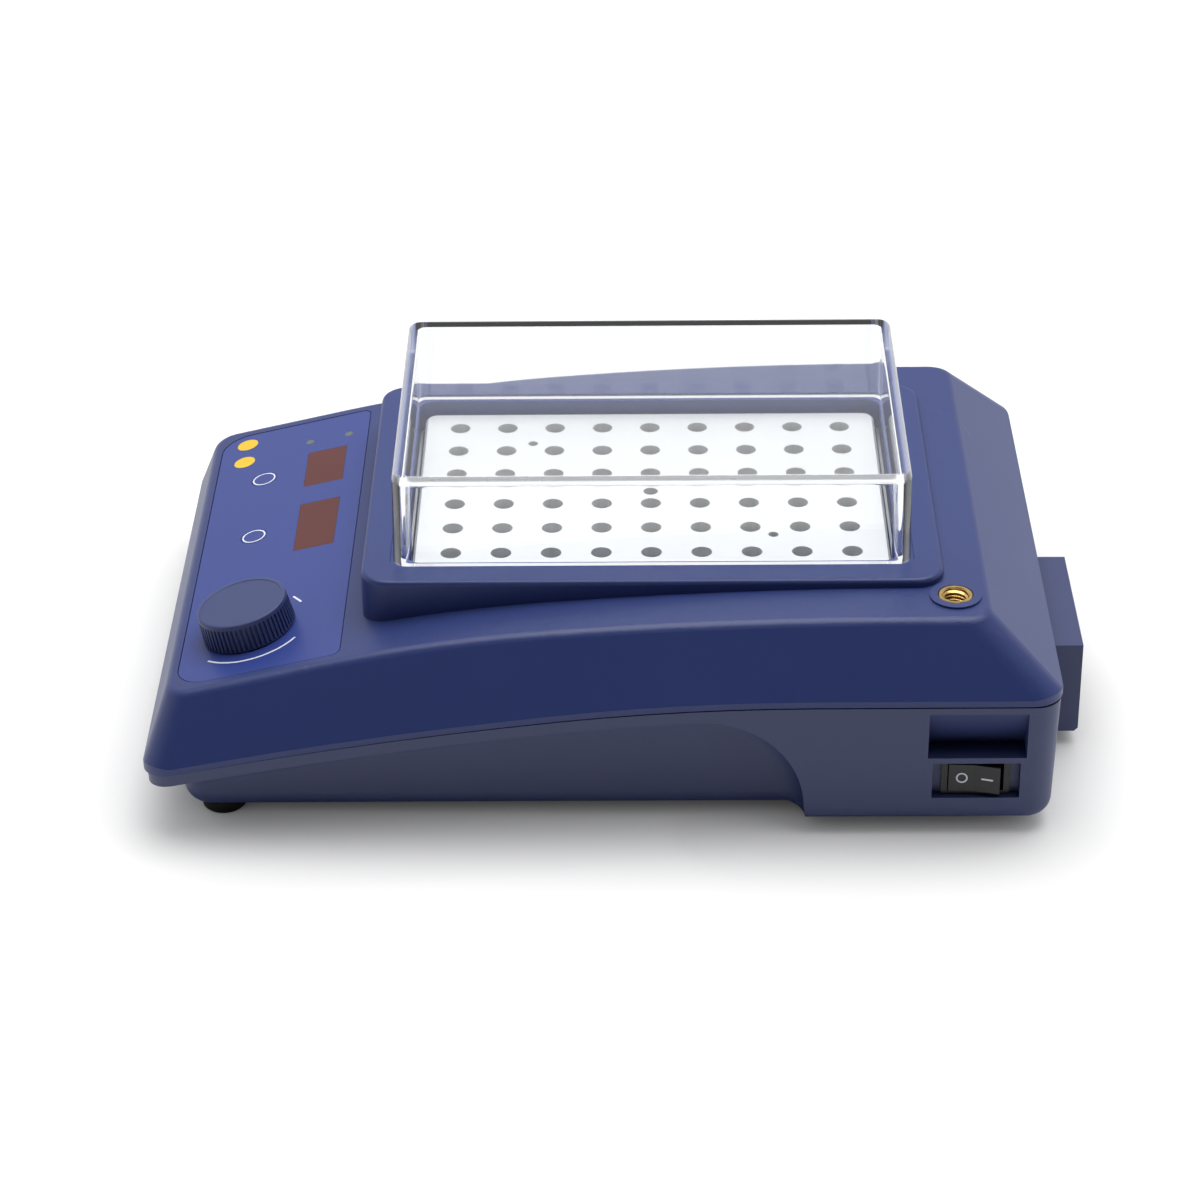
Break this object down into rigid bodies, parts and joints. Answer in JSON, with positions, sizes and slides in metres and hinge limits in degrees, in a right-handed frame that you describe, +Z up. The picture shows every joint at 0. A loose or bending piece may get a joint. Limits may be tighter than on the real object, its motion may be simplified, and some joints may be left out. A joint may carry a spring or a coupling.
{
  "type": "dry bath incubator",
  "caption": "Bench dry bath heater with a lift-out aluminium tube block, clear lid, sloping control panel with knob and keys, side power switch, rear mains inlet and support-rod insert.",
  "frame": {"origin": "on the bench, under the middle of the instrument's overall width and length", "axes": "+Y to the rear, away from the control panel; +Z up; +X to the operator's right, the side with the power switch"},
  "size_m": [0.198, 0.299, 0.106],
  "materials": {
    "casing_upper": "satin",
    "casing_lower": "satin",
    "overlay_film": "satin",
    "display_window": "gloss",
    "black_plastic": "satin",
    "knob_plastic": "satin",
    "key_plastic": "satin",
    "lamp_lens": "gloss",
    "block_aluminium": "fine machined",
    "tray_aluminium": "rolled",
    "sheet_steel": "plain",
    "screw_steel": "plated",
    "insert_brass": "machined",
    "contact_brass": "plated",
    "clear_lid": "clear",
    "foot_rubber": "matte",
    "heater_rubber": "matte",
    "insulation_felt": "felt",
    "circuit_laminate": "satin",
    "component_black": "satin",
    "terminal_green": "satin",
    "fuse_ceramic": "glazed",
    "rocker_plastic": "gloss"
  },
  "bodies": {
    "base": {"upper_casing": "casing_upper", "lower_casing": "casing_lower", "feet": "foot_rubber", "case_screws": "screw_steel", "threaded_insert": "insert_brass", "block_tray": "tray_aluminium", "tray_screws": "screw_steel", "heater_mat": "heater_rubber", "insulation_pad": "insulation_felt", "temperature_probe": "sheet_steel", "heater_cradle": "sheet_steel", "thermal_cutout": "component_black", "control_board": "circuit_laminate", "board_screws": "screw_steel", "left_display_lens": "display_window", "right_display_lens": "display_window", "left_display_module": "component_black", "right_display_module": "component_black", "key_switches": "component_black", "status_lamps": "lamp_lens", "panel_overlay": "overlay_film", "encoder_body": "component_black", "encoder_nut": "screw_steel", "switch_housing": "black_plastic", "switch_terminals": "contact_brass", "inlet_housing": "casing_lower", "iec_inlet": "black_plastic", "inlet_pins": "contact_brass", "inlet_screws": "screw_steel", "power_board": "circuit_laminate", "power_board_screws": "screw_steel", "transformer": "component_black", "triac_heat_sink": "tray_aluminium", "board_capacitors": "component_black", "terminal_block": "terminal_green"},
    "block": {"heating_block": "block_aluminium"},
    "lid": {"lid": "clear_lid"},
    "knob": {"encoder_shaft": "screw_steel", "knob": "knob_plastic"},
    "left_key": {"left_key": "key_plastic"},
    "right_key": {"right_key": "key_plastic"},
    "rocker": {"rocker": "rocker_plastic"},
    "fuse_drawer": {"fuse_drawer": "black_plastic", "fuse": "fuse_ceramic"}
  },
  "joints": [
    {"name": "block_lift", "type": "slide", "parent": "base", "child": "block", "axis": [0, 0, 1], "range_m": [0, 0.06]},
    {"name": "lid_lift", "type": "slide", "parent": "block", "child": "lid", "axis": [0, 0, 1], "range_m": [0, 0.12]},
    {"name": "knob_turn", "type": "hinge", "parent": "base", "child": "knob", "pos_m": [0.0544, -0.11757, 0.05151], "axis": [0, -0.2284, 0.9736], "continuous": true},
    {"name": "left_key_press", "type": "slide", "parent": "base", "child": "left_key", "axis": [0, 0.2284, -0.9736], "range_m": [0, 0.0004], "stiffness_N_per_m": 400},
    {"name": "right_key_press", "type": "slide", "parent": "base", "child": "right_key", "axis": [0, 0.2284, -0.9736], "range_m": [0, 0.0004], "stiffness_N_per_m": 400},
    {"name": "power_rocker", "type": "hinge", "parent": "base", "child": "rocker", "pos_m": [0.0937, 0.1112, 0.0207], "axis": [0, 0, 1], "range_deg": [0, 18]},
    {"name": "fuse_drawer_slide", "type": "slide", "parent": "base", "child": "fuse_drawer", "axis": [0, 1, 0], "range_m": [0, 0.012]}
  ]
}
